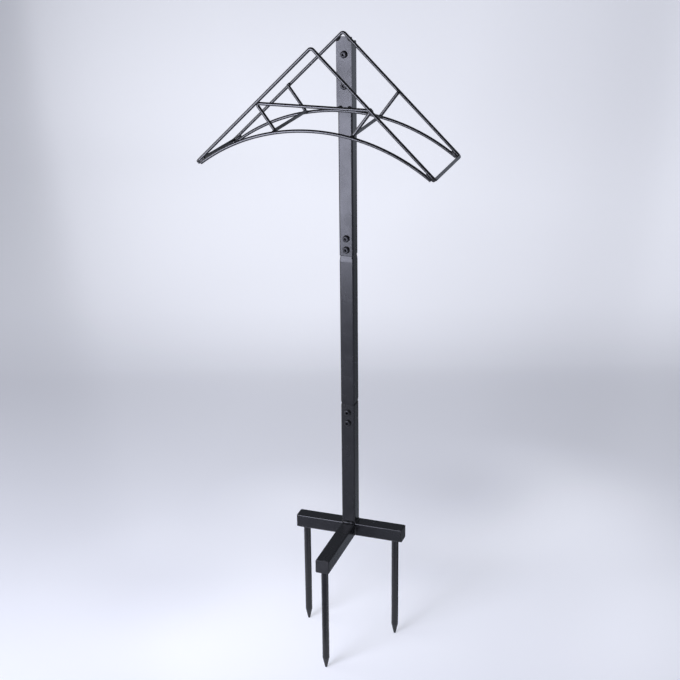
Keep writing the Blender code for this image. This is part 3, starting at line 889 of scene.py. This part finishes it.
def bolt_body(size, reach, sides=72):
    """Threaded end, shank, dome and socket along Z from the seat; a row's radius may vary round it.

    The thread's radius is r - depth * (1 + cos(2 pi z / pitch - t)) / 2, the dome is an
    ellipse and the socket's wall follows a hexagon.
    """
    t = angles(sides)
    radius, depth = size.thread / 2, size.pitch * 0.52
    cut, tip, fade, chamfer, bevel = 0.0085, 0.0008, 0.0012, 0.0009, 0.0002
    z = np.linspace(-reach, -reach + cut, 96)
    lead = np.clip((z + reach) / tip, 0, 1)
    run_out = smooth_step((-reach + cut - z) / fade)
    wave = (1 + np.cos(2 * np.pi * z[:, None] / size.pitch - t)) / 2
    thread = radius - depth * wave * run_out[:, None]
    thread = np.minimum(thread, (radius - chamfer + chamfer * lead)[:, None])
    a = np.linspace(0, np.pi / 2, 9)[1:]
    rim, seat = size.head / 2, size.gap
    crown = size.socket / math.sqrt(3) + 0.0005
    shoulder, top = seat + size.head_rim, seat + size.head_height
    dome = shoulder + (size.head_height - size.head_rim) * np.sin(a)
    pit = top - size.socket_depth
    heights = np.r_[z, seat, seat, seat + bevel, shoulder, dome]
    heights = np.r_[heights, top - 0.00012, pit, pit - size.drill_point]
    plain = np.r_[radius, rim - bevel, rim, rim, crown + (rim - crown) * np.cos(a)]
    socket = hexagon(size.socket, t)
    rows = np.r_[thread, plain[:, None] + 0 * t, [socket, socket, socket * 0.12]]
    return turned(heights, rows, sides)


class HOSESTAND_OT_bolts(PiecesOperator, Operator):
    """Dome-head bolts with hexagon sockets"""

    bl_idname = "hose_stand.bolts"
    bl_label = "Bolts"

    def execute(self, context):
        size = context.scene.hose_stand_fasteners
        seat = size.head_height + size.gap
        return self.fasten(context, "bolt_", "_turned", bolt_body, FORWARD, sharp=28, above=seat)


def nut_body(size, height, sides=96):
    """A bored hexagon cut by a cone at each face: radius = min(hexagon, face radius + 1.75 depth)."""
    t = angles(sides)
    countersink = 0.0005
    depth = np.linspace(0, 0.0006, 7)
    z = np.r_[depth, height - depth[::-1]]
    face = size.nut / 2 - 0.0002
    cone = face + np.minimum(z, height - z) * 1.75
    outside = np.minimum(hexagon(size.nut, t), cone[:, None])
    bore = np.full(sides, size.thread / 2 + 0.0002)
    mouth = bore + countersink
    heights = np.r_[0, z, height, height - countersink, countersink]
    return turned(heights, np.r_[[mouth], outside, [mouth, bore, bore]], sides)


class HOSESTAND_OT_nuts(PiecesOperator, Operator):
    """Hexagon nuts behind the post"""

    bl_idname = "hose_stand.nuts"
    bl_label = "Nuts"

    def execute(self, context):
        return self.fasten(context, "nut_", "_hex", nut_body, (0, 1, 0), sharp=25, along=True)


def floor(look):
    """A sweep: flat floor, then a quarter of a circle y = y0 + R sin t, z = R - R cos t, then a wall."""
    reach, bend, edge = 3.3, 2.2, 30.0
    t = np.linspace(0, np.pi / 2, 33)
    flat, wall = np.linspace(-edge, reach, 24)[:-1], np.linspace(0.3, 2.5, 6)
    y = np.r_[flat, reach + bend * np.sin(t), 0 * wall + reach + bend]
    z = np.r_[0 * flat, bend - bend * np.cos(t), bend + wall]
    x = np.linspace(-edge, edge, 40)
    grid = np.stack(np.broadcast_arrays(x[:, None], y, z), -1)
    ids = np.arange(x.size * y.size).reshape(x.size, y.size)
    quads = np.stack([ids[:-1, :-1], ids[1:, :-1], ids[1:, 1:], ids[:-1, 1:]], -1).reshape(-1, 4)
    paper = sweep_paper(look)
    staged("studio_sweep", grid.reshape(-1, 3).tolist(), quads.tolist(), paper).data.shade_smooth()


def staged(name, points, faces, material):
    """A sheet of the studio, which isn't part of the stand."""
    sheet = add_mesh(name, points, faces, material)
    return sheet


def sweep_paper(look):
    """Pale paper: plain to the light, and for camera and gloss a glow of painted light and shade from place
    to place.
    """
    paper = Surface("sweep_paper", look.floor, 0.9)
    paper.shade({"Specular IOR Level": 0.1})
    tone = 1.0 / PAINTED_LIGHT_SHARE
    for way, stops in FLOOR_LIGHT_AND_SHADE:
        tone = paper.joined("MULTIPLY", paper.graded(way, stops), tone)
    for spot, reach, gain in LIGHT_AND_SHADE_POOLS:
        tone = paper.joined("MULTIPLY", paper.pool(spot, reach, gain), tone)
    # This emission paints light and shade on the floor for camera and gloss.
    painted_light = paper.node("Emission", "Emission", {"Color": (*look.painted_light, 1), "Strength": tone})
    ray = paper.nodes.new("ShaderNodeLightPath")
    seen = paper.joined("MAXIMUM", ray.outputs["Is Camera Ray"], ray.outputs["Is Glossy Ray"])
    seen = paper.joined("MAXIMUM", seen, ray.outputs["Is Transmission Ray"])
    part = paper.joined("MULTIPLY", seen, PAINTED_LIGHT_SHARE)
    blend = paper.node("MixShader", "Shader", {"Fac": part, 1: paper.shader.outputs["BSDF"], 2: painted_light})
    paper.feed(paper.nodes["Material Output"], {"Surface": blend})
    return paper.material


def reflection_panels(look):
    """Matt glowing panels that only reflections see, painting reflections on the stand: folded ones behind,
    toned by height, and one in front.
    """
    sheet = [(0.16, 0.003), (0.58, 0.003), (0.62, 0.12), (0.62, 1.5)]
    folds = [(0, 1, 3, 2), (2, 3, 5, 4), (4, 5, 7, 6)]
    right = [(x, y - 0.32 * x, z) for y, z in sheet for x in (0.0, 0.9)]
    left = [(x, y, z) for y, z in sheet for x in (-0.9, 0.0)]
    ahead = [(x, y, 0.004) for y in (-2.6, -0.16) for x in (-1.6, 1.6)]
    panel("right", right, folds, look.reflection_tint_behind, RIGHT_REFLECTION_TONES)
    panel("left", left, folds, look.reflection_tint_behind, LEFT_REFLECTION_TONES)
    panel("ahead", ahead, folds[:1], look.reflection_tint_ahead)


def panel(name, corners, faces, tint, stops=()):
    """A glowing panel of one tint, toned by height if it has stops, that neither camera nor light sees: a
    painted reflection.
    """
    glow_sheet = Surface("painted_reflection_" + name, (0, 0, 0), 1.0)
    strength = glow_sheet.graded(UP, stops) if stops else 1.0
    glow_sheet.shade({"Specular IOR Level": 0.0, "Emission Color": (*tint, 1), "Emission Strength": strength})
    sheet = staged("studio_painted_reflection_" + name, corners, faces, glow_sheet.material)
    sheet.visible_camera = sheet.visible_diffuse = sheet.visible_shadow = False


def lights(look):
    """A tall softbox and a broad one in front on the left, a wide one on the left, one above."""
    key = area("key_softbox", look.key, (0.6, 1.15), (-0.62, -1.47, 0.12))
    key.data.color = look.key_tint
    area("fill_softbox", look.fill, (1.4, 1.6), (-1.95, -0.50, 0.35))
    shadow = area("shadow_softbox", look.shadow, (1.3, 1.3), (-0.66, -1.67, 0.61))
    top = area("top_softbox", look.top, (2.2, 2.2), (0.0, -0.3, 2.6))
    shadow.visible_glossy = top.visible_glossy = False


def area(name, power, size, offset):
    """A rectangular lamp at an offset from the stand's middle, facing it."""
    middle = Vector((0, 0.076, 0.65))
    spot = middle + Vector(offset)
    lamp = bpy.data.lights.new(name, "AREA")
    lamp.shape = "RECTANGLE"
    lamp.size, lamp.size_y = size
    lamp.energy = power
    thing = add_object(name, lamp)
    thing.location = spot
    thing.rotation_euler = (middle - spot).to_track_quat("-Z", "Y").to_euler()
    thing.visible_camera = False
    return thing


def surround(context, look):
    """Even light from all round, dimmed for reflections."""
    world = bpy.data.worlds.new("studio_surround")
    world.use_nodes = True
    graph = Graph(world.node_tree)
    dimmed = graph.spread(graph.node("LightPath", "Is Glossy Ray"), 1.0, look.room, 0.0, 1.0)
    graph.feed(graph.nodes["Background"], {"Color": (*look.sky, 1), "Strength": dimmed})
    context.scene.world = world


def camera(context, look):
    """Camera on the right of the front, at eye height, looking down along the stand."""
    data = bpy.data.cameras.new("studio_camera")
    data.sensor_width = 36.0
    data.lens = look.lens
    thing = add_object("studio_camera", data)
    ahead = np.array([-0.30385, 0.87942, -0.36647])
    right = np.array([0.94638, 0.32291, -0.00979])
    up = np.cross(right, ahead)
    turn = Matrix(np.stack([right, up, -ahead], 1).tolist()).to_4x4()
    spot = Vector((0.7561, box("lower_post_tube")[2][1] - 2.2379, 1.5089))
    thing.matrix_world = Matrix.Translation(spot) @ turn
    context.scene.camera = thing


class HOSESTAND_OT_studio(Operator):
    """Floor, backdrop, lights, surround and camera"""

    bl_idname = "hose_stand.studio"
    bl_label = "Studio"

    def execute(self, context):
        look = context.scene.hose_stand_studio
        floor(look)
        reflection_panels(look)
        lights(look)
        surround(context, look)
        camera(context, look)
        context.scene.view_settings.view_transform = "Standard"
        return {"FINISHED"}


class HOSESTAND_PT_panel(Panel):
    """The stand's pieces and sizes"""

    bl_idname = "HOSESTAND_PT_panel"
    bl_label = "Hose Stand"
    bl_space_type = "VIEW_3D"
    bl_region_type = "UI"
    bl_category = "Hose Stand"

    def draw(self, context):
        for step in STEPS:
            self.layout.operator(step.bl_idname)
        for name in GROUPS:
            column = self.layout.box()
            group = getattr(context.scene, name)
            for key in group.__annotations__:
                column.prop(group, key)


GROUPS = {
    "hose_stand_tubes": HoseStandTubeSizes,
    "hose_stand_wires": HoseStandWireSizes,
    "hose_stand_fasteners": HoseStandFastenerSizes,
    "hose_stand_finish": HoseStandFinish,
    "hose_stand_studio": HoseStandStudio,
}
STEPS = (
    HOSESTAND_OT_base,
    HOSESTAND_OT_spikes,
    HOSESTAND_OT_post,
    HOSESTAND_OT_caps,
    HOSESTAND_OT_plate,
    HOSESTAND_OT_rack,
    HOSESTAND_OT_base_welds,
    HOSESTAND_OT_rack_welds,
    HOSESTAND_OT_bolts,
    HOSESTAND_OT_nuts,
    HOSESTAND_OT_studio,
)


def register():
    """Register the groups, operators and panel."""
    for cls in (*GROUPS.values(), *STEPS, HOSESTAND_PT_panel):
        bpy.utils.register_class(cls)
    for name, cls in GROUPS.items():
        setattr(bpy.types.Scene, name, PointerProperty(type=cls))


def unregister():
    """Take them away again."""
    for name in GROUPS:
        delattr(bpy.types.Scene, name)
    for cls in reversed((*GROUPS.values(), *STEPS, HOSESTAND_PT_panel)):
        bpy.utils.unregister_class(cls)


def main():
    """Register the classes, then build every piece and the studio."""
    register()
    for step in STEPS:
        group, name = step.bl_idname.split(".")
        getattr(getattr(bpy.ops, group), name)()


if __name__ == "__main__":
    main()
